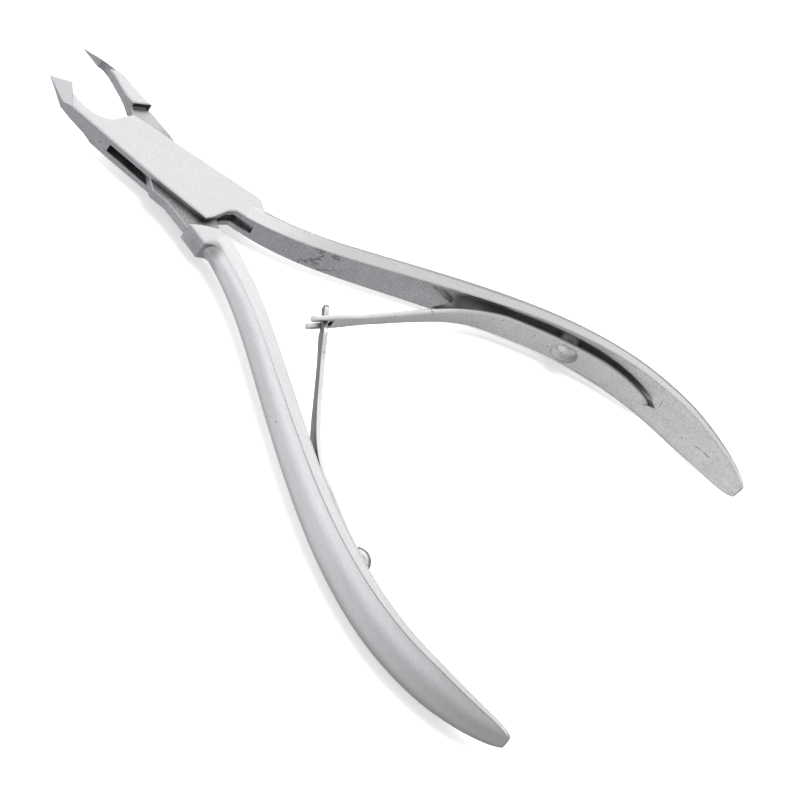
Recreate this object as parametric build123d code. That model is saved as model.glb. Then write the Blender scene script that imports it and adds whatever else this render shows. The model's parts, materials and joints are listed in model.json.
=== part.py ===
from build123d import *
import os
from math import cos, radians, sin

# Cuticle nipper with a box joint, two forged levers and a pair of crossed leaf springs.
# Each lever is drawn with the jaws shut: +X runs from the jaws to the handle ends, the
# female lever's handle is on the +Y side and the male lever's handle on the -Y side.
# The pivot axis is Z through the origin, and z = 0 is the middle of the box.
# The parts are then turned to the rest position, with the jaws open.

# ---------------------------------------------------------------- driving dimensions (mm)

opening_angle = 18.0            # between shut and open, shared equally by the two levers

# box joint
box_height = 4.1
edge_break = 0.12               # chamfer along the outer edges of the box and jaws
tongue_height = 1.82
slot_height = 1.9 
slot_radius = 9.9               # the slot is swept about the pivot
slot_mouth_side = -0.2          # the slot is open to the front on the +Y side of this line
slot_run_out = 12.6             # where the slot runs out in the female handle's root
slot_run_out_width = 1.7
pin_radius = 2.0
pin_running_clearance = 0.03

# jaws: each ends in a raised blade with a roof-like bevel on its outer side
jaw_reach = 21.75               # pivot to cutting tip
jaw_root_reach = 9.3            # where the jaws' underside starts to rise
tip_height = 1.9                # all jaw heights are above the middle of the box
heel_reach = 18.9               # rear end of the cutting edge
heel_height = 3.7
heel_slope = 0.7                # how far the heel's rear face leans forward
heel_foot_reach = 17.9          # foot of the heel's rear face, at the centre line
bevel_foot_reach = 16.6         # rear end of the bevel, at the jaw's outer side
bevel_foot_side = 2.06
underside_lean = 1.0            # how much the underside rises toward the cutting edge
cutting_gap = 0.02              # between the cutting edges, shut

# handles
handle_start = 11.0
handle_end = 87.9
handle_section_count = 15
root_band = 2.0                 # width of the flat bands along the top and bottom
end_band = 0.5
hollow_depth = 0.6              # relief behind the leaf spring, in the handle's inner face
hollow_front = 36.0
hollow_rear = 73.0

# leaf springs
leaf_thickness = 0.7
leaf_gap = 0.5                  # between the handle and the clamped leaf
leaf_rear_gap = 0.1             # the same, at the leaf's rear end
leaf_root_height = 4.8
leaf_root_end = 70.8            # rear end of the clamped leaf
leaf_taper_start = 61.0
leaf_flex_start = 48.6          # where the leaf starts to bend away from the handle
leaf_bow = 1.62                 # how far the leaf bows out from its chord
crossing_radius = 28.2          # pivot to the crossing of the leaves, open
crossing_overrun = 2.3          # how far the leaves run past the crossing
neck_relief = 1.1               # fork throat and tongue shoulders, ahead of the crossing
shoulder_length = 1.2           # where the blade widens again before them
fork_height = 3.0
fork_gap = 1.6
tongue_tip_height = 1.4
fork_waist_height = 2.2
tongue_shoulder_height = 2.3
tongue_waist_height = 1.7
seat_clearance = 0.02

# leaf spring rivets
rivet_reach = 56.9
rivet_boss_radius = 1.9         # pad on the handle that the leaf is riveted to
rivet_head_radius = 2.05
forked_rivet_head_height = 1.15
tongued_rivet_head_height = 2.2  # this rivet was left standing prouder
rivet_shank_radius = 1.0
rivet_depth = 1.8               # below the handle's inner face
dome_embed = 0.1                # the head is drawn this much deeper, then fitted to the leaf

half_opening = opening_angle / 2
half_box = box_height / 2
leaf_half = leaf_thickness / 2
tall = 20.0                     # taller than anything in the tool
wide = 400.0                    # longer than anything in the tool


# ---------------------------------------------------------------- shared curves and helpers

def plate(outline, height):
    """A flat plate with the given outline, centred on z = 0."""
    return extrude(make_face(outline), amount=height / 2, both=True)


def mirrored(shape):
    """The same shape for the lever on the other side of the tool."""
    return mirror(shape, about=Plane.XZ)


def half_space(origin, normal):
    """A block that fills the side of a plane that its normal points to."""
    size = 100.0
    block = Box(size, size, size, align=(Align.CENTER, Align.CENTER, Align.MIN))
    return Plane(origin=origin, z_dir=normal) * block


# The handle's inner face in plan: an S-curve that leaves the pivot, bows outward for the
# palm and turns back in at the end.
inner_face = Spline(
    (handle_start, 0.35),
    (16.0, 1.25),
    (28.8, 5.8),
    (41.8, 11.25),
    (54.6, 15.6),
    (67.5, 17.4),
    (78.0, 16.3),
    (handle_end, 13.6),
)


def parameter_at(curve, reach):
    """Where along a curve it reaches the given distance along X."""
    low, high = 0.0, 1.0
    for _ in range(40):
        middle = (low + high) / 2
        if (curve @ middle).X < reach:
            low = middle
        else:
            high = middle
    return low


def height_at(curve, reach):
    """Height of a curve drawn against the distance along X."""
    return (curve @ parameter_at(curve, reach)).Y


def face_at(reach):
    """Point and unit tangent of the inner face at the given distance along X."""
    parameter = parameter_at(inner_face, reach)
    return inner_face @ parameter, (inner_face % parameter).normalized()


def outward(tangent):
    """Unit normal that points out of the palm side of the female handle."""
    return Vector(-tangent.Y, tangent.X, 0)


def strip(front, rear, inside, outside):
    """A tall strip along the inner face, between two offsets toward the other handle.

    inside and outside are functions of the share of the way from front to rear.
    """
    steps = 7
    near_side = []
    far_side = []
    for step in range(steps):
        share = step / (steps - 1)
        point, tangent = face_at(front + (rear - front) * share)
        near_side.append(point - outward(tangent) * inside(share))
        far_side.append(point - outward(tangent) * outside(share))
    outline = Spline(near_side) + Line(near_side[-1], far_side[-1])
    outline += Spline(far_side) + Line(near_side[0], far_side[0])
    return plate(outline, tall)


def across(outline):
    """Everything inside an outline drawn in X and Z, across the whole tool."""
    return extrude(Plane.XZ * make_face(outline), amount=wide / 2, both=True)


# ---------------------------------------------------------------- handles

# Half the handle's height and its thickness, against the distance along X.
half_height = Spline(
    (handle_start, half_box),
    (20.0, 2.6),
    (35.3, 3.15),
    (48.2, 3.7),
    (60.9, 4.35),
    (70.0, 4.55),
    (78.0, 4.3),
    (83.5, 3.4),
    (86.8, 2.3),
    (handle_end, 1.3),
)
thickness = Spline(
    (handle_start, 3.3),
    (20.0, 3.1),
    (34.0, 3.3),
    (60.0, 3.3),
    (74.0, 3.2),
    (82.0, 2.5),
    (handle_end, 1.1),
)


def section_band(reach):
    """Width of the flat band along the handle's top and bottom."""
    share = (handle_end - reach) / (handle_end - handle_start)
    return end_band + (root_band - end_band) * share**0.7


def handle_section(reach):
    """A D-shaped section: flat palm face, narrow flat bands and a convex outer face."""
    point, tangent = face_at(reach)
    half = height_at(half_height, reach)
    depth = height_at(thickness, reach)
    band = min(section_band(reach), 0.65 * depth)
    outline = Polyline((band, half), (0, half), (0, -half), (band, -half))
    outline += ThreePointArc((band, -half), (depth, 0), (band, half))
    return Plane(origin=point, x_dir=outward(tangent), z_dir=tangent) * make_face(outline)


def spring_hollow():
    """The hollow milled in the inner face behind the leaf, with a slanting front end."""
    band = strip(hollow_front, hollow_rear, lambda share: hollow_depth, lambda share: -hollow_depth)
    outline = Spline((36.6, 2.5), (46.0, 2.95), (58.0, 3.3), (65.0, 2.6), (70.0, 1.0), (72.0, -0.6))
    outline += Polyline((72.0, -0.6), (69.0, -2.2), (62.0, -2.8), (38.6, -2.8), (40.4, -0.2), (36.6, 2.5))
    return band & across(outline)


def rivet_frame():
    """Plane on the inner face at the rivet, its normal pointing out of the handle."""
    point, tangent = face_at(rivet_reach)
    return Plane(origin=point, x_dir=tangent, z_dir=outward(tangent))


def rivet_boss():
    """The pad that the leaf is riveted to."""
    height = leaf_gap + leaf_half + 2 * hollow_depth
    boss = Cylinder(rivet_boss_radius, height, align=(Align.CENTER, Align.CENTER, Align.MIN))
    boss = rivet_frame() * Pos(0, 0, -leaf_gap - leaf_half) * boss
    return boss - strip(leaf_flex_start, leaf_root_end, stand_off, lambda share: leaf_gap + leaf_thickness)


def handle():
    """The female lever's handle, with the spring's hollow and the rivet's pad and hole."""
    step = (handle_end - handle_start) / handle_section_count
    reaches = [handle_start + step * count for count in range(handle_section_count)]
    reaches += [handle_end - 0.45 * step, handle_end - 0.13 * step, handle_end]
    solid = loft([handle_section(reach) for reach in reaches])
    solid -= spring_hollow()
    solid += rivet_boss()
    solid -= rivet_frame() * Cylinder(rivet_shank_radius, 2 * rivet_depth)
    return solid


# ---------------------------------------------------------------- jaws

def underside_cut(side):
    """Everything below the jaw's rising underside; side is -1 for the jaw at -Y."""
    profile = Plane.XZ * make_face(
        Polyline(
            (-jaw_root_reach, -half_box),
            (-11.3, -0.4),
            (-12.5, 0.6),
            (-13.5, 1.0),
            (-16.1, 1.45),
            (-18.1, 1.85),
            (-20.0, tip_height),
            (-jaw_reach, tip_height - 0.08),
            (-jaw_reach - 1, tip_height - 0.08),
            (-jaw_reach - 1, -tall),
            (-jaw_root_reach, -tall),
            close=True,
        )
    )
    outer_half = extrude(profile, amount=tall, dir=(0, side, -underside_lean))
    return outer_half + extrude(profile, amount=tall, dir=(0, -side, 0))


def bevel_cut(side):
    """Everything above the roof-like bevel that ends in the cutting edge."""
    tip = Vector(-jaw_reach, 0, tip_height)
    heel = Vector(-heel_reach, 0, heel_height)
    foot = Vector(-bevel_foot_reach, side * bevel_foot_side, half_box)
    normal = (heel - tip).cross(foot - tip)
    return half_space(tip, normal * side)


def raised_blade(plan, side):
    """The part of a jaw that stands above the box's top face and carries the cutting edge."""
    foot = Vector(-heel_foot_reach, 0, half_box)
    outer_foot = Vector(-bevel_foot_reach, side * bevel_foot_side, half_box)
    top = Vector(-heel_foot_reach - heel_slope, 0, heel_height)
    normal = (outer_foot - foot).cross(top - foot)
    block = extrude(make_face(plan), amount=heel_height) - half_space(foot, normal * side)
    return block & Box(2 * jaw_reach, wide, tall, align=(Align.MAX, Align.CENTER, Align.CENTER))


def jaw(plan, side):
    """A jaw, and whatever else its plan holds at the height of the box."""
    solid = chamfer(plate(plan, box_height).edges().group_by(Axis.Z)[-1], edge_break)
    return solid + raised_blade(plan, side) - underside_cut(side) - bevel_cut(side)


# ---------------------------------------------------------------- levers

def female_plan():
    """Plan of the female lever's jaw and box, without the handle."""
    outline = Polyline(
        (-jaw_reach, -cutting_gap),
        (-18.1, -1.9),
        (-16.5, -2.08),
        (-12.0, -2.42),
        (-8.4, -2.75),
        (-1.3, -3.3),
        (6.75, -3.65),
        (7.4, -2.8),
        (8.5, -0.6),
        (9.4, 0.2),
        (handle_start, 0.35),
        (handle_start + 2.4, 0.8),
        (handle_start + 2.4, 2.4),
        (12.3, 3.2),
        (11.2, 4.15),
        (10.4, 4.2),
        (-9.5, 2.9),
    )
    front = ThreePointArc((-9.5, 2.9), (-10.35, 1.7), (-11.3, 0.2))
    crescent = Spline(
        (-11.3, 0.2),
        (-12.6, -0.42),
        (-14.8, -0.75),
        (-16.9, -0.4),
        (-heel_reach + 0.6, -cutting_gap),
    )
    edge = Line((-heel_reach + 0.6, -cutting_gap), (-jaw_reach, -cutting_gap))
    return outline + front + crescent + edge


def slot():
    """The slot through the box that the male lever's tongue turns in."""
    mouth = Pos(-slot_radius / 2, slot_mouth_side, 0) * Box(
        slot_radius, slot_radius, slot_height, align=(Align.MAX, Align.MIN, Align.CENTER)
    )
    run_out = Pos(0, 0.2, 0) * Box(
        slot_run_out, slot_run_out_width, slot_height, align=(Align.MIN, Align.CENTER, Align.CENTER)
    )
    return Cylinder(slot_radius, slot_height) + mouth + run_out


def female_lever():
    return jaw(female_plan(), -1) + handle() - slot() - Cylinder(pin_radius, tall)


def male_plan():
    """Plan of the male lever's jaw, without the box."""
    outline = Polyline(
        (-jaw_reach, cutting_gap),
        (-18.2, 1.85),
        (-16.8, 2.2),
        (-15.2, 2.55),
        (-11.0, 2.75),
        (-9.8, 3.05),
        (-11.35, 0.95),
    )
    crescent = Spline(
        (-11.35, 0.95),
        (-12.5, 0.8),
        (-15.0, 1.1),
        (-17.4, 1.1),
        (-heel_reach + 0.6, cutting_gap),
    )
    edge = Line((-heel_reach + 0.6, cutting_gap), (-jaw_reach, cutting_gap))
    return outline + crescent + edge


def tongue_plan():
    """Plan of the thin tongue that passes through the female lever's slot."""
    return Polyline(
        (-11.6, 1.1),
        (-11.0, 0.75),
        (-9.6, -0.1),
        (-8.6, -1.0),
        (-5.0, -2.9),
        (-2.6, -3.2),
        (0.2, -4.6),
        (2.7, -3.95),
        (9.5, -3.9),
        (11.5, -1.5),
        (10.4, -0.6),
        (4.5, 2.2),
        (0.0, 2.8),
        (-5.4, 3.0),
        (-9.4, 2.85),
        (-10.6, 2.3),
        close=True,
    )


def male_root_plan():
    """Plan of the full-height root between the tongue and the male handle."""
    return Polyline(
        (7.0, -3.95),
        (7.95, -2.6),
        (8.9, -1.6),
        (9.7, -0.8),
        (handle_start, -0.35),
        (handle_start + 2.0, -0.75),
        (handle_start + 2.0, -2.5),
        (11.2, -3.1),
        (10.4, -4.05),
        close=True,
    )


def male_root():
    """The root, with broken edges."""
    return chamfer(plate(male_root_plan(), box_height).edges().group_by(Axis.Z)[-1], edge_break)


def male_lever():
    body = jaw(male_plan(), 1) + plate(tongue_plan(), tongue_height)
    body += male_root() + mirrored(handle())
    return body - Cylinder(pin_radius + pin_running_clearance, tall)


def pivot_pin():
    """A plain pin, riveted over and ground flush with both faces of the box."""
    return Cylinder(pin_radius, box_height)


# ---------------------------------------------------------------- leaf springs

def stand_off(share):
    """Gap between the handle and the clamped leaf: even up to the rivet, then closing."""
    rivet_share = (rivet_reach - leaf_flex_start) / (leaf_root_end - leaf_flex_start)
    past_rivet = max(0.0, (share - rivet_share) / (1 - rivet_share))
    return leaf_gap + (leaf_rear_gap - leaf_gap) * past_rivet**2


def leaf_root():
    """The clamped half of a leaf, hollowed at its end for the flexing half."""
    leaf = strip(
        leaf_flex_start,
        leaf_root_end,
        lambda share: stand_off(share) + seat_clearance,
        lambda share: stand_off(share) + leaf_thickness,
    )
    root = leaf_root_height / 2
    taper = leaf_root_end - leaf_taper_start
    middle = leaf_taper_start + 0.55 * taper
    point = (leaf_root_end + 0.3, -0.1 * root)
    upper = [(leaf_taper_start, root), (middle, 0.72 * root), point]
    lower = [(leaf_taper_start, -root), (middle, -0.78 * root), point]
    outline = Polyline((leaf_taper_start, root), (40.0, root), (40.0, -root), (leaf_taper_start, -root))
    outline += Spline(upper, tangents=[(1, 0), (1, -0.9)]) + Spline(lower, tangents=[(1, 0), (1, 0.6)])
    leaf &= across(outline)
    leaf -= Pos(flex_point) * Cylinder(leaf_half + seat_clearance, tall)
    leaf -= rivet_frame() * Cylinder(rivet_shank_radius, tall)
    return leaf


flex_face, flex_tangent = face_at(leaf_flex_start)
flex_point = flex_face - outward(flex_tangent) * (leaf_gap + leaf_half)
crossing_open = Vector(
    crossing_radius * cos(radians(half_opening)),
    -crossing_radius * sin(radians(half_opening)),
    0,
)
blade_length = (crossing_open - flex_point).length
blade_end = blade_length + crossing_overrun
throat = blade_length - neck_relief


def blade_frame():
    """Plane at the flexing end: X along the blade to the crossing, Y across it."""
    along = (crossing_open - flex_point).normalized()
    return Plane(origin=flex_point, x_dir=along, z_dir=(0, 0, 1))


def blade_blank():
    """The flexing half in plan: it leaves along the handle and bends toward the crossing."""
    centre = Spline(
        (0, 0),
        (0.17 * blade_length, -0.82 * leaf_bow),
        (0.34 * blade_length, -leaf_bow),
        (0.6 * blade_length, -0.66 * leaf_bow),
        (blade_end, 0.1 * crossing_overrun),
        tangents=[(1, -0.36), (1, 0.1)],
    )
    steps = 8
    near_side = []
    far_side = []
    for step in range(steps + 1):
        point = centre @ (step / steps)
        tangent = (centre % (step / steps)).normalized()
        near_side.append(point - outward(tangent) * leaf_half)
        far_side.append(point + outward(tangent) * leaf_half)
    outline = Spline(near_side) + Line(near_side[-1], far_side[-1])
    outline += Spline(far_side) + Line(near_side[0], far_side[0])
    return plate(outline, tall) + Cylinder(leaf_half, tall)


def blade(waist_height, tip_outline):
    """Cut the blank to its outline as seen across the leaf, given the tip's half-outline."""
    root = leaf_root_height / 2
    waist = waist_height / 2
    upper = [(-1.0, root), (1.5, root), (5.5, 0.6 * root + 0.4 * waist), (9.0, 0.35 * root + 0.65 * waist)]
    upper += [(15.0, 0.1 * root + 0.9 * waist), (21.5, waist)]
    upper += tip_outline
    lower = [(along, -height) for along, height in reversed(upper)]
    profile = Plane.XZ * make_face(Polyline(upper + lower, close=True))
    return blade_frame() * (blade_blank() & extrude(profile, amount=10, both=True))


def forked_blade():
    """The blade whose two prongs straddle the other one."""
    shoulder = fork_height / 2
    gap = Pos(throat, 0, 0) * Box(10, 10, fork_gap, align=(Align.MIN, Align.CENTER, Align.CENTER))
    tip_outline = [(throat - shoulder_length, shoulder), (blade_end, shoulder)]
    return blade(fork_waist_height, tip_outline) - blade_frame() * gap


def tongued_blade():
    """The blade whose narrow tip passes between the prongs."""
    shoulder = tongue_shoulder_height / 2
    tip = tongue_tip_height / 2
    tip_outline = [(throat - shoulder_length, shoulder), (throat, shoulder)]
    tip_outline += [(throat, tip), (blade_end, tip)]
    return blade(tongue_waist_height, tip_outline)


def rivet(head_height):
    """Shank in the handle and a domed head on the leaf."""
    palm_side = leaf_gap + leaf_thickness
    dome_radius = (rivet_head_radius**2 + head_height**2) / (2 * head_height)
    dome = Pos(0, 0, dome_radius - head_height) * Sphere(dome_radius)
    dome &= Cylinder(rivet_head_radius, 4 * dome_radius)
    dome &= Pos(0, 0, -dome_radius) * Box(4 * dome_radius, 4 * dome_radius, 2 * dome_radius)
    shank = Cylinder(
        rivet_shank_radius,
        head_height / 2 + palm_side + rivet_depth,
        align=(Align.CENTER, Align.CENTER, Align.MIN),
    )
    placed_dome = rivet_frame() * Pos(0, 0, -palm_side + dome_embed) * dome
    placed_dome -= strip(
        leaf_flex_start,
        leaf_root_end,
        lambda share: 0.0,
        lambda share: stand_off(share) + leaf_thickness,
    )
    return placed_dome + rivet_frame() * Pos(0, 0, -palm_side - head_height / 2) * shank


# ---------------------------------------------------------------- assembly

# The origin ends up on the pivot axis, at the flat lower face of the box.
female_turn = Pos(0, 0, half_box) * Rot(0, 0, half_opening)
male_turn = Pos(0, 0, half_box) * Rot(0, 0, -half_opening)

parts = {
    "female_lever": female_turn * female_lever(),
    "male_lever": male_turn * male_lever(),
    "pivot_pin": female_turn * pivot_pin(),
    "forked_spring_root": female_turn * leaf_root(),
    "forked_spring_blade": female_turn * forked_blade(),
    "tongued_spring_root": male_turn * mirrored(leaf_root()),
    "tongued_spring_blade": male_turn * mirrored(tongued_blade()),
    "forked_spring_rivet": female_turn * rivet(forked_rivet_head_height),
    "tongued_spring_rivet": male_turn * mirrored(rivet(tongued_rivet_head_height)),
}

os.makedirs("parts", exist_ok=True)
for name, shape in parts.items():
    export_step(shape, "parts/" + name + ".step")
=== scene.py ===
import json
import math
from collections import namedtuple

import bmesh
import bpy
import numpy as np
from mathutils import Matrix, Vector


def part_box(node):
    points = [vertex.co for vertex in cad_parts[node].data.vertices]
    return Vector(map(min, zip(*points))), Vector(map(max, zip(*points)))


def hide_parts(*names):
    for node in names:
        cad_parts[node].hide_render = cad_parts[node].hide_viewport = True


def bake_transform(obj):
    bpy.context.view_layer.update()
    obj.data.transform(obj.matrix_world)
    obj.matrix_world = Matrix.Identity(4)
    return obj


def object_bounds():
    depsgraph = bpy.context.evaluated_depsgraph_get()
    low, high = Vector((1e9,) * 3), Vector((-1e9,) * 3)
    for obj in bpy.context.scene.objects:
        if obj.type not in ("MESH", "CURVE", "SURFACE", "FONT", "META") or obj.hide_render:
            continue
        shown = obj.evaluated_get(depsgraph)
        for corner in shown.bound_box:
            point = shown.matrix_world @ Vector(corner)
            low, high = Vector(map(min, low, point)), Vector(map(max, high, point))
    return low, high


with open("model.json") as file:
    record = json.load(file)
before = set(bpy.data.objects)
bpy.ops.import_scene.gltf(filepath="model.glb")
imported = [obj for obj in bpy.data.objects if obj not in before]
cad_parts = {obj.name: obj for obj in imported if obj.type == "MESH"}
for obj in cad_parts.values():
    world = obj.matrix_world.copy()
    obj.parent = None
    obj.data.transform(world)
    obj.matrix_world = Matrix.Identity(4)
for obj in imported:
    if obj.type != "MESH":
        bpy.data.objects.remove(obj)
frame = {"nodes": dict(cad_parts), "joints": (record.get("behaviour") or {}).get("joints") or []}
cad_low, cad_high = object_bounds()

MM = 0.001


def mm(*lengths):
    """Lengths in millimetres as a tuple in metres."""
    return tuple(length * MM for length in lengths)


# ---------------------------------------------------------------- places taken from the frame

NODES = frame["nodes"]
JOINTS = {joint["name"]: joint for joint in frame["joints"]}
PIVOT = Vector(JOINTS["pivot"]["pos_m"])
BOX_TOP = max(corner.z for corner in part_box("pivot_pin"))


# ---------------------------------------------------------------- camera

CAMERA_AZIMUTH = 4.6
CAMERA_ELEVATION = 56.56
CAMERA_ROLL = 40.27
CAMERA_DISTANCE = 0.5419
CAMERA_LENS = 180.8
CAMERA_SENSOR = 36
CAMERA_CLIPPING = (0.01, 20)
CAMERA_TARGET = PIVOT + Vector(mm(42.9, -0.54, 0))


def view_axes(azimuth, elevation, roll):
    """Right, up and back axes of a camera that looks at the object from a compass direction."""
    a, e, r = (math.radians(angle) for angle in (azimuth, elevation, roll))
    back = Vector((math.sin(a) * math.cos(e), -math.cos(a) * math.cos(e), math.sin(e)))
    level_right = Vector((math.cos(a), math.sin(a), 0))
    level_up = back.cross(level_right)
    right = level_right * math.cos(r) + level_up * math.sin(r)
    return right, back.cross(right), back


def make_camera(right, up, back):
    data = bpy.data.cameras.new("camera")
    data.sensor_width = CAMERA_SENSOR
    data.lens = CAMERA_LENS
    data.clip_start, data.clip_end = CAMERA_CLIPPING
    camera = bpy.data.objects.new("camera", data)
    bpy.context.scene.collection.objects.link(camera)
    axes = Matrix((right, up, back)).transposed().to_4x4()
    camera.matrix_world = Matrix.Translation(CAMERA_TARGET + back * CAMERA_DISTANCE) @ axes
    bpy.context.scene.camera = camera


RIGHT, UP, BACK = view_axes(CAMERA_AZIMUTH, CAMERA_ELEVATION, CAMERA_ROLL)
make_camera(RIGHT, UP, BACK)


# ---------------------------------------------------------------- node helpers

MIX_FACTOR, MIX_A, MIX_B = 0, 6, 7      # the Mix node's inputs when it mixes colours
MIX_RESULT = 2
SOFT_SAMPLES = 6                        # samples of the nodes that look around a point


def grey(shade):
    return (shade, shade, shade, 1)


class Nodes:
    """A short way to write a node tree."""

    def __init__(self, tree):
        self.tree = tree
        self.tree.nodes.clear()

    def put(self, socket, value):
        """Link an output to a socket, or set the socket to a plain value."""
        if isinstance(value, bpy.types.NodeSocket):
            self.tree.links.new(value, socket)
        else:
            socket.default_value = value

    def add(self, kind, inputs=None, **settings):
        node = self.tree.nodes.new("ShaderNode" + kind)
        for name, value in settings.items():
            setattr(node, name, value)
        for name, value in (inputs or {}).items():
            self.put(node.inputs[name], value)
        return node

    def position(self):
        return self.add("TexCoord").outputs["Object"]

    def normal(self):
        return self.add("NewGeometry").outputs["Normal"]

    def part(self, vector, axis):
        return self.add("SeparateXYZ", {"Vector": vector}).outputs[axis]

    def stretched(self, vector, scale):
        return self.add("Mapping", {"Vector": vector, "Scale": scale}).outputs[0]

    def noise(self, vector, scale, detail=3.0, roughness=0.55):
        inputs = {"Vector": vector, "Scale": scale, "Detail": detail, "Roughness": roughness}
        return self.add("TexNoise", inputs).outputs["Fac"]

    def ramp(self, value, *stops):
        """Map a value through (position, grey or colour) stops."""
        node = self.add("ValToRGB", {"Fac": value})
        elements = node.color_ramp.elements
        while len(elements) < len(stops):
            elements.new(0.5)
        for element, (position, shade) in zip(elements, stops):
            element.position = position
            element.color = (*shade, 1) if isinstance(shade, tuple) else grey(shade)
        return node.outputs["Color"]

    def remap(self, value, low, high, new_low=0.0, new_high=1.0, shape="SMOOTHSTEP"):
        """A smooth step between two values, clamped outside them, or a straight one."""
        inputs = {
            "Value": value,
            "From Min": low,
            "From Max": high,
            "To Min": new_low,
            "To Max": new_high,
        }
        return self.add("MapRange", inputs, interpolation_type=shape).outputs[0]

    def math(self, operation, a, b=0.0):
        node = self.add("Math", operation=operation)
        self.put(node.inputs[0], a)
        self.put(node.inputs[1], b)
        return node.outputs[0]

    def product(self, first, *others):
        """Masks and factors multiplied together."""
        for other in others:
            first = self.math("MULTIPLY", first, other)
        return first

    def vector_math(self, operation, a, b=(0, 0, 0)):
        """The number that comes out of a vector operation."""
        node = self.add("VectorMath", operation=operation)
        self.put(node.inputs[0], a)
        self.put(node.inputs[1], b)
        return node.outputs["Value"]

    def near(self, vector, point, radius, softness):
        """1 close to a point, 0 beyond the radius, with a soft rim."""
        distance = self.vector_math("DISTANCE", vector, point)
        return self.remap(distance, radius * (1 - softness), radius, 1.0, 0.0)

    def sliver(self, vector, centre, tilt, half_length, half_width):
        """1 inside a thin streak that lies in an XZ plane, tilted from X toward Z."""
        inputs = {
            "Vector": vector,
            "Location": centre,
            "Rotation": (0, -math.radians(tilt), 0),
            "Scale": (half_length, half_length, half_width),
        }
        local = self.add("Mapping", inputs, vector_type="TEXTURE").outputs[0]
        return self.near(local, (0, 0, 0), 1.0, 0.5)

    def mix(self, factor, a, b, blend="MIX"):
        """Blend two colours; a plain number stands for a grey."""
        node = self.add("Mix", data_type="RGBA", blend_type=blend)
        self.put(node.inputs[MIX_FACTOR], factor)
        for socket, value in ((MIX_A, a), (MIX_B, b)):
            self.put(node.inputs[socket], grey(value) if isinstance(value, float) else value)
        return node.outputs[MIX_RESULT]

    def tinted(self, colour, tint, factor=1.0):
        return self.mix(factor, colour, tint, "MULTIPLY")

    def bump(self, height, distance, normal=None):
        inputs = {"Height": height, "Distance": distance, "Strength": 1.0}
        if normal is not None:
            inputs["Normal"] = normal
        return self.add("Bump", inputs).outputs[0]

    def rounded_normal(self, radius):
        """The normal that the surface would have with its edges rounded over."""
        return self.add("Bevel", {"Radius": radius}, samples=SOFT_SAMPLES).outputs[0]

    def turn_at_edges(self, radius, normal):
        """0 on open faces, rising to about 0.3 on a rounded right-angled edge."""
        agreement = self.vector_math("DOT_PRODUCT", self.rounded_normal(radius), normal)
        return self.math("SUBTRACT", 1.0, agreement)

    def openness(self, distance, closed, open_):
        """0 in corners and slots, 1 on open faces."""
        node = self.add("AmbientOcclusion", {"Distance": distance}, samples=SOFT_SAMPLES)
        return self.remap(node.outputs["AO"], closed, open_)


class Surface(Nodes):
    """The node tree of a material with one Principled shader."""

    def __init__(self, name):
        self.material = bpy.data.materials.new(name)
        self.material.use_nodes = True
        super().__init__(self.material.node_tree)
        self.shader = self.add("BsdfPrincipled")
        self.add("OutputMaterial", {"Surface": self.shader.outputs[0]})

    def set(self, **values):
        """Fill the shader's sockets; an underscore stands for a space in a socket's name."""
        for name, value in values.items():
            self.put(self.shader.inputs[name.replace("_", " ")], value)


# ---------------------------------------------------------------- steel of the levers

STEEL_TINT = (0.99, 0.98, 1.02, 1)
EDGE_ROUNDING = 0.22 * MM

# Where the finish changes along the tool, from the pivot toward the handle ends.
BOX_END = 12 * MM
HANDLE_START = 2 * BOX_END
HANDLE_SEAM = 4 * BOX_END       # the seam line beside the handle's flat band is darkest from here
MILLING_FADES = (36 * MM, 52 * MM)

# The upright step behind a jaw, where the jaw stands up from the tongue or the box.
STEP_NORMAL = 0.45              # it faces the handles at least this squarely
STEP_REAR = (-8.6 * MM, -9.0 * MM)
STEP_FRONT = (-14 * MM, -13 * MM)

# The pin is ground out of sight: edges this near to the pivot axis are hardly rounded and hardly
# get the painted edge highlight.
PIN_RIM = (2.5 * MM, 2.9 * MM)
PIN_ROUNDING = 0.08

# Scales of the noises, of the polishing streaks and of the milling wave, and how deep they are
# embossed.
GRAIN, GRAIN_DEPTH = 6200.0, 0.011 * MM
SPECKLE, SPECKLE_DEPTH = 2300.0, 0.030 * MM
BLOTCH = 420.0
CLOUD = 70.0
TIDE = 260.0
POLISH, POLISH_DEPTH = (90.0, 2600.0, 2600.0), 0.004 * MM
MILLING, MILLING_DEPTH = 640.0, 0.014 * MM

# A handle's middle line roughly follows y = HANDLE_BEND * x ** HANDLE_POWER, in metres.
HANDLE_BEND = 0.97
HANDLE_POWER = 1.35

# Marks on a lever, in mm. Pits are (x, y, z, radius). Scratches are the middle (x, y, z), the
# tilt in degrees from the long way of the tool, half the length and half the width. Stains and
# shadows are a middle and a radius, and burns have a strength as well. Shadows and
# burns are painted shade.
Marks = namedtuple("Marks", "pits scratches stains burns shadows", defaults=((),) * 4)

FEMALE_MARKS = Marks(
    pits=((73.9, 28.3, 0.8, 0.16), (-10.4, -4.2, 1.8, 0.20), (63.0, 28.0, -0.6, 0.14)),
    scratches=(
        ((76.4, 28.2, 1.9), 22, 0.85, 0.10),
        ((77.9, 28.1, 2.25), 4, 0.95, 0.11),
        ((68.55, 28.25, 3.3), 96, 1.7, 0.05),
    ),
    stains=(((20.5, 6.2, 2.3), 5.6),),
    shadows=(((41.6, 19.6, 2.6), 5.2),),    # front of the relief behind the leaf spring
)
MALE_MARKS = Marks(
    pits=((32.1, -16.9, 1.65, 0.15), (33.6, -17.6, 3.45, 0.15), (53.0, -27.8, 0.25, 0.22)),
    # Painted shade where the handle runs out of the box, standing in for the shade of a dished
    # run-out.
    burns=(((11.0, -5.3, 3.7), 2.0, 0.80), ((9.0, -5.6, 1.5), 3.0, 0.35)),
)


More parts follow.
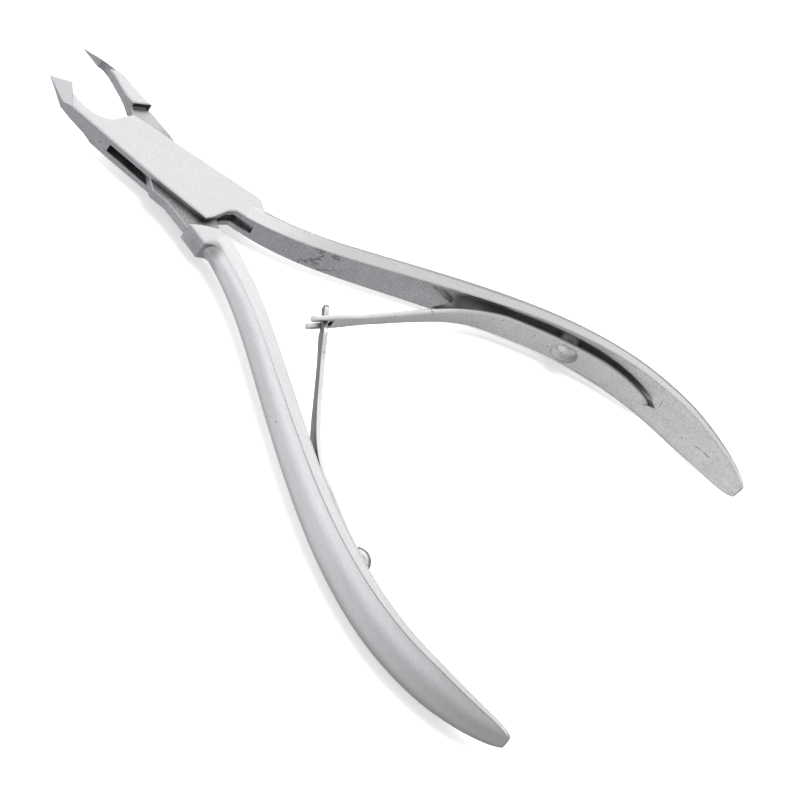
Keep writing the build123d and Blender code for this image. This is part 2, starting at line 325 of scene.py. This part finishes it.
class LeverSteel(Surface):
    """Satin forged steel: fine blasted grain on top, darker and mottled on the upright sides."""

    def __init__(self, name, inward):
        """inward is +1 or -1, the side along Y that the lever's handle turns to the other one."""
        super().__init__(name)
        self.point = self.position()
        self.face = self.normal()
        self.along = self.part(self.point, "X")
        self.height = self.part(self.point, "Z")
        self.slope = self.math("ABSOLUTE", self.part(self.face, "Z"))
        self.facing = self.math("MULTIPLY", self.part(self.face, "Y"), float(inward))
        self.in_box = self.remap(self.along, BOX_END, BOX_END + 3 * MM, 1.0, 0.0)
        self.on_handle = self.remap(self.along, BOX_END, HANDLE_START)
        self.upright = self.remap(self.slope, 0.10, 0.35, 1.0, 0.0)
        self.flat_top = self.remap(self.slope, 0.93, 0.99)
        inner = self.math("MAXIMUM", self.remap(self.facing, 0.6, 0.8), self.in_box)
        self.side = self.product(inner, self.upright)

        self.grain = self.noise(self.point, GRAIN, 3.0, 0.6)
        self.speckle = self.noise(self.point, SPECKLE, 4.0, 0.65)
        self.blotch = self.noise(self.point, BLOTCH, 4.0, 0.6)
        self.cloud = self.noise(self.point, CLOUD, 2.0, 0.5)
        self.polish = self.noise(self.stretched(self.along_handle(), POLISH), 1.0, 3.0, 0.55)
        wave = {
            "Vector": self.point,
            "Scale": MILLING,
            "Distortion": 2.0,
            "Detail": 2.0,
            "Detail Scale": 2.0,
        }
        self.milling = self.add("TexWave", wave, bands_direction="X").outputs["Fac"]
        milled_length = self.remap(self.along, *MILLING_FADES, 1.0, 0.0)
        self.milled = self.product(self.side, self.on_handle, milled_length)

        from_pin = self.vector_math("LENGTH", self.stretched(self.point, (1, 1, 0)))
        self.off_pin = self.remap(from_pin, *PIN_RIM, PIN_ROUNDING, 1.0)
        self.rounding = self.product(self.off_pin, EDGE_ROUNDING)

    def along_handle(self):
        """Coordinates that run along the curved handles: distance along, across and height."""
        reach = self.math("MAXIMUM", self.along, 0.0)
        bend = self.product(self.math("POWER", reach, HANDLE_POWER), HANDLE_BEND)
        spread = self.math("ABSOLUTE", self.part(self.point, "Y"))
        across = self.math("SUBTRACT", spread, bend)
        inputs = {"X": self.along, "Y": across, "Z": self.height}
        return self.add("CombineXYZ", inputs).outputs[0]

    def smooth_tone(self, painted_band_tones):
        """The tops and outsides, painted darker toward the bottom, with painted_band_tones
        painting the flat bands' brightness from front to rear.
        """
        fine = self.ramp(self.grain, (0.32, 0.55), (0.68, 0.75))
        wide = self.ramp(self.cloud, (0.3, 0.61), (0.7, 0.69))
        streaks = self.ramp(self.polish, (0.30, 0.95), (0.70, 1.03))
        tone = self.tinted(self.mix(0.4, fine, wide), self.mix(self.in_box, streaks, 1.0))
        # Painted shade toward the bottom of the outsides, standing in for the shadowed floor they
        # would mirror.
        painted_low_shade = self.remap(self.height, -1.2 * MM, 2.6 * MM, 0.58, 1.0)
        tone = self.tinted(tone, self.math("MAXIMUM", painted_low_shade, self.in_box))
        tone = self.tinted(tone, STEEL_TINT, self.math("SUBTRACT", 1.0, self.flat_top))
        # Painted shade and light along the flat bands, front to rear.
        painted_band_tone = self.remap(self.along, 45 * MM, 75 * MM, *painted_band_tones)
        return self.tinted(tone, painted_band_tone, self.product(self.flat_top, self.on_handle))

    def rough_tone(self):
        """The upright inner sides, darkest at the jaws and lighter toward the handle ends: partly
        darker forge scale at the front, partly painted shade from the shadowed space between the
        handles.
        """
        dull = self.ramp(
            self.remap(self.along, -5 * MM, 70 * MM),
            (0.0, (0.415, 0.41, 0.445)),
            (0.5, (0.605, 0.59, 0.62)),
            (1.0, (0.745, 0.725, 0.735)),
        )
        small = self.ramp(self.speckle, (0.34, 0.66), (0.60, 1.10))
        large = self.ramp(self.blotch, (0.3, 0.82), (0.7, 1.12))
        return self.tinted(dull, self.mix(0.5, small, large))

    def finished(self, tone, painted_outer_tones):
        """Paint shade on the outer sides, front to rear by painted_outer_tones, and show the
        milling marks.
        """
        painted_outer_tone = self.remap(self.along, 40 * MM, 80 * MM, *painted_outer_tones)
        tone = self.tinted(tone, painted_outer_tone, self.remap(self.facing, -0.25, -0.6))
        ripples = self.ramp(self.milling, (0.2, 0.95), (0.8, 1.03))
        return self.tinted(tone, ripples, self.milled)

    def marked(self, tone, marks):
        for x, y, z, radius in marks.pits:
            pit = self.near(self.point, mm(x, y, z), radius * MM, 0.5)
            tone = self.mix(pit, tone, 0.10)
        for centre, tilt, half_length, half_width in marks.scratches:
            size = mm(half_length, half_width)
            tone = self.mix(self.sliver(self.point, mm(*centre), tilt, *size), tone, 0.16)
        for centre, radius in marks.stains:
            region = self.near(self.point, mm(*centre), radius * MM, 0.5)
            tide = self.noise(self.point, TIDE, 3.0, 0.6)
            rim = self.ramp(tide, (0.47, 0.0), (0.50, 1.0), (0.53, 0.0))
            tone = self.mix(self.product(rim, region, self.side, 0.75), tone, 0.10)
        # Painted shade at the male handle's run-out beside the box, where the part lacks a dished
        # scoop.
        for centre, radius, strength in marks.burns:
            scoop_shade = self.near(self.point, mm(*centre), radius * MM, 0.9)
            tone = self.mix(self.product(scoop_shade, strength), tone, 0.20)
        for centre, radius in marks.shadows:
            shadow = self.near(self.point, mm(*centre), radius * MM, 0.35)
            tone = self.mix(self.product(shadow, self.side), tone, 0.14)
        return tone

    def darkened_in_the_joint(self, tone):
        """Blacken the step behind a jaw, and darken the tongue's sunk working faces: they are left
        rough, and their darkening is partly painted shade under the box.
        """
        squareness = self.part(self.face, "X")
        faces_handles = self.remap(squareness, STEP_NORMAL, STEP_NORMAL + 0.12)
        behind_jaw = self.remap(self.along, *STEP_REAR)
        clear_of_tip = self.remap(self.along, *STEP_FRONT)
        step = self.product(faces_handles, behind_jaw, self.upright, clear_of_tip)
        tone = self.mix(step, tone, 0.05)

        sunk = self.remap(self.height, BOX_TOP - 0.9 * MM, BOX_TOP - 0.6 * MM, 1.0, 0.0)
        # The tongue's sunk faces beside the box are rough working faces, darkened partly as
        # painted shade under the box.
        sunk_and_shaded = self.product(sunk, self.in_box, self.remap(self.slope, 0.6, 0.8))
        dull = self.ramp(self.speckle, (0.3, 0.25), (0.7, 0.44))
        lighter_in_front = self.remap(self.along, -4 * MM, -7 * MM)
        return self.mix(sunk_and_shaded, tone, self.mix(lighter_in_front, dull, 0.52))

    def edges_and_corners(self, tone):
        """A dark seam line beside the handles' bands, painted highlights along the upper edges and
        painted shade in corners and slots.
        """
        turn = self.turn_at_edges(self.rounding, self.face)
        seam = self.ramp(turn, (0.0, 0.0), (0.006, 1.0), (0.06, 1.0), (0.10, 0.0))
        seam_strength = self.remap(self.along, BOX_END, HANDLE_SEAM, 0.15, 0.95)
        tone = self.mix(self.product(seam, seam_strength), tone, 0.08)
        # Painted highlight along rounded upper edges.
        painted_highlight = self.ramp(turn, (0.07, 0.0), (0.14, 0.85))
        upper_edges = self.remap(self.height, 1.5 * MM, 3.0 * MM)
        tone = self.mix(self.product(painted_highlight, self.off_pin, upper_edges), tone, 0.97)
        # Painted shade in corners and slots, nearly black inside the box.
        corner_shade = self.mix(self.in_box, 0.34, 0.025)
        return self.mix(self.openness(2.4 * MM, 0.22, 0.72), corner_shade, tone)

    def roughness(self):
        smooth = self.ramp(self.cloud, (0.3, 0.33), (0.7, 0.41))
        rough = self.ramp(self.blotch, (0.3, 0.36), (0.7, 0.50))
        return self.mix(self.side, smooth, rough)

    def relief(self):
        """Rounded edges, with milling marks, polishing streaks and grain embossed over them."""
        surface = self.rounded_normal(self.rounding)
        surface = self.bump(self.product(self.milling, self.milled), MILLING_DEPTH, surface)
        surface = self.bump(self.polish, POLISH_DEPTH, surface)
        surface = self.bump(self.product(self.speckle, self.side), SPECKLE_DEPTH, surface)
        return self.bump(self.grain, GRAIN_DEPTH, surface)


def lever_steel(name, inward, painted_band_tones, painted_outer_tones, marks):
    steel = LeverSteel(name, inward)
    tone = steel.mix(steel.side, steel.smooth_tone(painted_band_tones), steel.rough_tone())
    tone = steel.finished(tone, painted_outer_tones)
    tone = steel.marked(tone, marks)
    tone = steel.darkened_in_the_joint(tone)
    tone = steel.edges_and_corners(tone)
    steel.set(
        Base_Color=tone,
        Metallic=1.0,
        Roughness=steel.roughness(),
        Normal=steel.relief(),
    )
    return steel.material


# ---------------------------------------------------------------- other steel

RUST = (0.17, 0.12, 0.09, 1)


def spring_steel(name, painted_brightness):
    """Rolled spring strip: brushed along its length, with a few rust specks. painted_brightness is
    painted light above 1 and painted shade below 1; the up- and down-facing edges keep one tone, a
    painted highlight on a darkened strip, and corners get painted shade.
    """
    steel = Surface(name)
    position = steel.position()
    strip = steel.add("UVMap").outputs[0]
    brushed = steel.noise(steel.stretched(strip, (300.0, 5200.0, 1.0)), 1.0, 3.0, 0.6)
    speckle = steel.noise(position, 3400.0, 4.0, 0.7)
    cloud = steel.noise(position, 180.0, 3.0)
    spots = steel.noise(position, 1300.0, 5.0, 0.7)

    rolled = steel.ramp(brushed, (0.3, 0.50), (0.7, 0.62))
    tone = steel.mix(0.5, rolled, steel.ramp(cloud, (0.3, 0.50), (0.7, 0.62)))
    tone = steel.tinted(tone, steel.ramp(speckle, (0.32, 0.80), (0.55, 1.04)))
    tone = steel.tinted(tone, painted_brightness)
    # The up- and down-facing edges keep one tone: a painted highlight on the darkened tongued
    # leaf.
    slope = steel.math("ABSOLUTE", steel.part(steel.normal(), "Z"))
    tone = steel.mix(steel.remap(slope, 0.5, 0.85), tone, 0.64)
    tone = steel.mix(steel.ramp(spots, (0.63, 0.0), (0.68, 0.8)), tone, RUST)
    # Painted shade in corners, such as beside the rivet head.
    tone = steel.mix(steel.openness(1.6 * MM, 0.38, 0.90), 0.10, tone)

    surface = steel.rounded_normal(0.10 * MM)
    surface = steel.bump(brushed, 0.006 * MM, surface)
    surface = steel.bump(speckle, 0.007 * MM, surface)
    steel.set(
        Base_Color=tone,
        Metallic=1.0,
        Roughness=steel.ramp(speckle, (0.3, 0.32), (0.7, 0.44)),
        Normal=surface,
    )
    return steel.material


def rivet_steel():
    """A set rivet head: burnished on the crown, hammered, with painted shade around the rim."""
    steel = Surface("rivet_steel")
    position = steel.position()
    hammered = steel.noise(position, 1500.0, 3.0, 0.6)
    grain = steel.noise(position, 6000.0, 3.0, 0.6)
    crown = steel.ramp(hammered, (0.3, 0.42), (0.7, 0.62))
    surface = steel.bump(hammered, 0.035 * MM)
    steel.set(
        # Painted shade around the rim, in the corner under the head.
        Base_Color=steel.mix(steel.openness(1.2 * MM, 0.45, 0.95), 0.08, crown),
        Metallic=1.0,
        Roughness=steel.ramp(hammered, (0.3, 0.18), (0.7, 0.30)),
        Normal=steel.bump(grain, 0.008 * MM, surface),
    )
    return steel.material


def dress(object_, material):
    """Give an object one material."""
    materials = object_.data.materials
    materials.clear()
    materials.append(material)


# One spring steel in two copies: painted light on the forked leaf, painted shade on the tongued
# leaf.
FORKED_STEEL_LIT = spring_steel("forked_spring_steel_lit", 1.34)
TONGUED_STEEL_SHADED = spring_steel("tongued_spring_steel_shaded", 0.50)
RIVET_STEEL = rivet_steel()
# The band and outer tones paint shade and light on the levers' one steel, differently on each
# lever.
FEMALE_STEEL = lever_steel("female_steel", -1, (0.80, 0.92), (0.88, 0.98), FEMALE_MARKS)
MALE_STEEL = lever_steel("male_steel", 1, (1.0, 1.02), (1.0, 0.76), MALE_MARKS)
dress(NODES["female_lever"], FEMALE_STEEL)
dress(NODES["male_lever"], MALE_STEEL)
dress(NODES["pivot_pin"], FEMALE_STEEL)
dress(NODES["forked_spring_rivet"], RIVET_STEEL)
dress(NODES["tongued_spring_rivet"], RIVET_STEEL)


# ---------------------------------------------------------------- leaf springs

LEAF_CORNER = 0.12 * MM         # rounding of a leaf's long edges
CORNER_LIMIT = 0.45             # the most that a rounding takes of the leaf's thickness
CORNER_STEPS = 3
ROOT_SECTIONS = 30
BLADE_SECTIONS = 44
ROOT_END_MARGIN = 0.15 * MM     # the end sections stay this far inside the CAD leaf
TIP_MARGIN = 0.02 * MM
ROOT_FLEX_MARGIN = 0.9 * MM     # and this far from the seam where the leaf flexes
BLADE_FLEX_MARGIN = 1.1 * MM
CLAMPED = slice(4, 20)          # root sections that the leaf's thickness is measured at
FORK_GAP = 1.6 * MM
FORK_CUT = mm(12, 6)            # length and width of the solid that cuts the fork
RIVET_HOLE_RADIUS = 1.02 * MM
RIVET_HOLE_SIDES = 40

Section = namedtuple("Section", "centre half_thickness top bottom")


def in_plan(point):
    return Vector((point.x, point.y, 0))


def plan_axis(name):
    """Middle of a CAD node and the direction of its greatest length, both in plan."""
    points = np.array([vertex.co[:2] for vertex in NODES[name].data.vertices])
    middle = (points.min(0) + points.max(0)) / 2
    direction = np.linalg.svd(points - points.mean(0), full_matrices=False)[2][0]
    return Vector((*middle, 0)), Vector((*direction, 0))


def cross_section(name, point, direction):
    """The section of a CAD leaf where an upright plane cuts it."""
    cut = bmesh.new()
    cut.from_mesh(NODES[name].data)
    everything = cut.verts[:] + cut.edges[:] + cut.faces[:]
    result = bmesh.ops.bisect_plane(cut, geom=everything, plane_co=point, plane_no=direction)
    kept = result["geom_cut"]
    found = [item.co.copy() for item in kept if isinstance(item, bmesh.types.BMVert)]
    cut.free()
    side = Vector((-direction.y, direction.x, 0))
    offsets = [(co - point).dot(side) for co in found]
    heights = [co.z for co in found]
    centre = in_plan(point + side * (max(offsets) + min(offsets)) / 2)
    return Section(centre, (max(offsets) - min(offsets)) / 2, max(heights), min(heights))


def sections_along(name, start, count, start_margin, end_margin):
    """Sections of a CAD leaf at even steps along it, from the end nearer to start."""
    middle, direction = plan_axis(name)
    if (start - middle).dot(direction) > 0:
        direction = -direction
    reaches = [(vertex.co - middle).dot(direction) for vertex in NODES[name].data.vertices]
    first = min(reaches) + start_margin
    last = max(reaches) - end_margin
    distances = [first + (last - first) * step / (count - 1) for step in range(count)]
    points = [middle + direction * distance for distance in distances]
    return [cross_section(name, point, direction) for point in points]


def rounded_profile(half_width, top, bottom):
    """A rounded rectangle as (across, height) pairs, anticlockwise."""
    radius = min(LEAF_CORNER, CORNER_LIMIT * half_width, CORNER_LIMIT * (top - bottom))
    corners = (
        (half_width - radius, top - radius, 0),
        (-half_width + radius, top - radius, 90),
        (-half_width + radius, bottom + radius, 180),
        (half_width - radius, bottom + radius, 270),
    )
    points = []
    for across, height, start in corners:
        for step in range(CORNER_STEPS + 1):
            angle = math.radians(start + 90 * step / CORNER_STEPS)
            across_arc = across + radius * math.cos(angle)
            points.append((across_arc, height + radius * math.sin(angle)))
    return points


def solid_object(name, mesh):
    """A scene object made from a bmesh, which is freed."""
    data = bpy.data.meshes.new(name)
    mesh.to_mesh(data)
    mesh.free()
    solid = bpy.data.objects.new(name, data)
    bpy.context.scene.collection.objects.link(solid)
    return solid


def loft(name, sections, thickness):
    """A closed strip through the sections, with UVs that measure along and up the leaf."""
    mesh = bmesh.new()
    uv_layer = mesh.loops.layers.uv.new("UVMap")
    rings = []
    lengths = []
    travelled = 0.0
    for index, section in enumerate(sections):
        before = sections[max(index - 1, 0)].centre
        after = sections[min(index + 1, len(sections) - 1)].centre
        along = (after - before).normalized()
        side = Vector((-along.y, along.x, 0))
        travelled += (section.centre - before).length
        lengths.append(travelled)
        ring = []
        for across, height in rounded_profile(thickness / 2, section.top, section.bottom):
            ring.append(mesh.verts.new(section.centre + side * across + Vector((0, 0, height))))
        rings.append(ring)
    spans = zip(rings, rings[1:], lengths, lengths[1:])
    for near_ring, far_ring, near_length, far_length in spans:
        for corner, near_vertex in enumerate(near_ring):
            follow = (corner + 1) % len(near_ring)
            corners = (near_vertex, near_ring[follow], far_ring[follow], far_ring[corner])
            face = mesh.faces.new(corners)
            face.smooth = True
            for loop, u in zip(face.loops, (near_length, near_length, far_length, far_length)):
                loop[uv_layer].uv = (u, loop.vert.co.z)
    mesh.faces.new(rings[0])
    mesh.faces.new(reversed(rings[-1]))
    bmesh.ops.recalc_face_normals(mesh, faces=mesh.faces)
    return solid_object(name, mesh)


def cut_away(piece, solid):
    """Take a solid out of a piece for good, and throw the solid away."""
    modifier = piece.modifiers.new("cut", "BOOLEAN")
    modifier.operation = "DIFFERENCE"
    modifier.solver = "EXACT"
    modifier.object = solid
    bpy.context.view_layer.update()
    evaluated = piece.evaluated_get(bpy.context.evaluated_depsgraph_get())
    cut = bpy.data.meshes.new_from_object(evaluated)
    piece.modifiers.clear()
    piece.data = cut
    bpy.data.objects.remove(solid)


def rivet_hole(prefix, root, thickness):
    """The rivet's hole through the clamped leaf, as a solid."""
    low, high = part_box(prefix + "_rivet")
    rivet = (low + high) / 2
    rivet_in_plan = in_plan(rivet)
    distances = [(section.centre - rivet_in_plan).length for section in root]
    nearest = distances.index(min(distances))
    along = (root[nearest + 1].centre - root[nearest - 1].centre).normalized()
    beside = root[nearest].centre
    centre = beside + along * (rivet_in_plan - beside).dot(along)
    centre.z = rivet.z
    axis = Vector((-along.y, along.x, 0))
    turn = axis.to_track_quat("Z", "Y").to_matrix().to_4x4()
    mesh = bmesh.new()
    bmesh.ops.create_cone(
        mesh,
        cap_ends=True,
        segments=RIVET_HOLE_SIDES,
        radius1=RIVET_HOLE_RADIUS,
        radius2=RIVET_HOLE_RADIUS,
        depth=4 * thickness,
        matrix=Matrix.Translation(centre) @ turn,
    )
    return solid_object("hole", mesh)


def fork_throat():
    """Where the CAD fork's slot begins: its deepest point toward the handle."""
    points = [vertex.co for vertex in NODES["forked_spring_blade"].data.vertices]
    wall = FORK_GAP / 2
    on_walls = [co for co in points if abs(abs(co.z - PIVOT.z) - wall) < 0.01 * MM]
    return in_plan(max(on_walls, key=lambda co: co.x))


def fork_slot(blade):
    """The slot between the prongs, as a solid that runs from the throat past the tip."""
    along = (blade[-1].centre - blade[-6].centre).normalized()
    length, width = FORK_CUT
    centre = fork_throat() + along * length / 2
    centre.z = PIVOT.z
    turn = Matrix.Rotation(math.atan2(along.y, along.x), 4, "Z")
    size = Matrix.Diagonal((length, width, FORK_GAP, 1))
    mesh = bmesh.new()
    bmesh.ops.create_cube(mesh, size=1.0, matrix=Matrix.Translation(centre) @ turn @ size)
    return solid_object("gap", mesh)


def leaf_spring(name, prefix, material, forked=False):
    """One leaf in one piece, from its clamped end over the flexing point to its tip."""
    flex = in_plan(Vector(JOINTS[prefix + "_flex"]["pos_m"]))
    rear = Vector((cad_high.x, 0, 0))
    root = sections_along(prefix + "_root", rear, ROOT_SECTIONS, ROOT_END_MARGIN, ROOT_FLEX_MARGIN)
    blade = sections_along(prefix + "_blade", flex, BLADE_SECTIONS, BLADE_FLEX_MARGIN, TIP_MARGIN)
    thickness = 2 * min(section.half_thickness for section in root[CLAMPED])
    leaf = loft(name, root + blade, thickness)
    cut_away(leaf, rivet_hole(prefix, root, thickness))
    if forked:
        cut_away(leaf, fork_slot(blade))
    dress(leaf, material)
    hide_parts(prefix + "_root", prefix + "_blade")
    start = root[-2].centre.copy()
    end = blade[3].centre.copy()
    start.z = end.z = PIVOT.z
    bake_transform(leaf)


leaf_spring("forked_leaf", "forked_spring", FORKED_STEEL_LIT, forked=True)
leaf_spring("tongued_leaf", "tongued_spring", TONGUED_STEEL_SHADED)


# ---------------------------------------------------------------- floor and light

FLOOR_HALF_SIZE = 3.0
FLOOR_GAP = 0.02 * MM           # keeps the floor clear of the handles
FLOOR_GLOW = 0.3                # keeps the shadows on the floor light

# Brightness of the studio against height, from straight down (0) over the horizon (0.5) to
# straight up (1). Below the horizon it stands for the paper as the steel mirrors it.
WORLD_STOPS = (
    (0.0, 0.58), (0.15, 0.72), (0.42, 0.60), (0.50, 0.74),
    (0.60, 1.28), (0.76, 1.30), (0.86, 0.92), (0.92, 0.82), (1.0, 0.48),
)

KEY_DIRECTION = RIGHT * 0.15 + UP * 0.25 + Vector((0, 0, 1))
KEY_DISTANCE = 0.8
KEY_SIZE = 0.6
KEY_POWER = 9.0


def make_floor():
    """A pale paper floor, kept out of the steel's reflections."""
    half = FLOOR_HALF_SIZE
    corners = [(-half, -half, 0), (half, -half, 0), (half, half, 0), (-half, half, 0)]
    mesh = bpy.data.meshes.new("floor")
    mesh.from_pydata(corners, [], [(0, 1, 2, 3)])
    floor = bpy.data.objects.new("floor", mesh)
    floor.location = (0, 0, cad_low.z - FLOOR_GAP)
    floor.visible_glossy = False
    bpy.context.scene.collection.objects.link(floor)
    paper = Surface("paper")
    fibres = paper.noise(paper.position(), 900.0, 3.0)
    paper.set(
        Base_Color=paper.ramp(fibres, (0.3, 0.93), (0.7, 0.95)),
        Roughness=0.9,
        Emission_Color=grey(1),
        Emission_Strength=FLOOR_GLOW,
    )
    dress(floor, paper.material)


def make_world():
    """A soft studio, brightest above the horizon, dark overhead and dim toward +X."""
    world = bpy.data.worlds.new("studio")
    bpy.context.scene.world = world
    world.use_nodes = True
    studio = Nodes(world.node_tree)
    direction = studio.add("TexCoord").outputs["Generated"]
    x, y, z = (studio.part(direction, axis) for axis in "XYZ")
    height = studio.remap(z, -1.0, 1.0, shape="LINEAR")
    window = studio.remap(y, -0.3, 0.5, 1.0, 1.52, "LINEAR")
    paper = studio.remap(y, -0.5, 0.4, 1.25, 0.80, "LINEAR")
    toward_y = studio.mix(studio.remap(z, -0.15, 0.15), paper, window)
    toward_x = studio.remap(x, -0.25, 0.45, 1.08, 0.70, "LINEAR")
    inputs = {
        "Color": studio.ramp(height, *WORLD_STOPS),
        "Strength": studio.product(toward_y, toward_x),
    }
    studio.add("OutputWorld", {"Surface": studio.add("Background", inputs).outputs[0]})


def make_key_light():
    """A soft overhead light that lays the shadows, kept out of the steel's reflections."""
    data = bpy.data.lights.new("key", "AREA")
    data.shape = "DISK"
    data.size = KEY_SIZE
    data.energy = KEY_POWER
    light = bpy.data.objects.new("key", data)
    light.location = CAMERA_TARGET + KEY_DIRECTION.normalized() * KEY_DISTANCE
    light.rotation_mode = "QUATERNION"
    light.rotation_quaternion = KEY_DIRECTION.to_track_quat("Z", "Y")
    light.visible_glossy = False
    bpy.context.scene.collection.objects.link(light)


make_floor()
make_world()
make_key_light()
bpy.context.scene.view_settings.view_transform = "Standard"
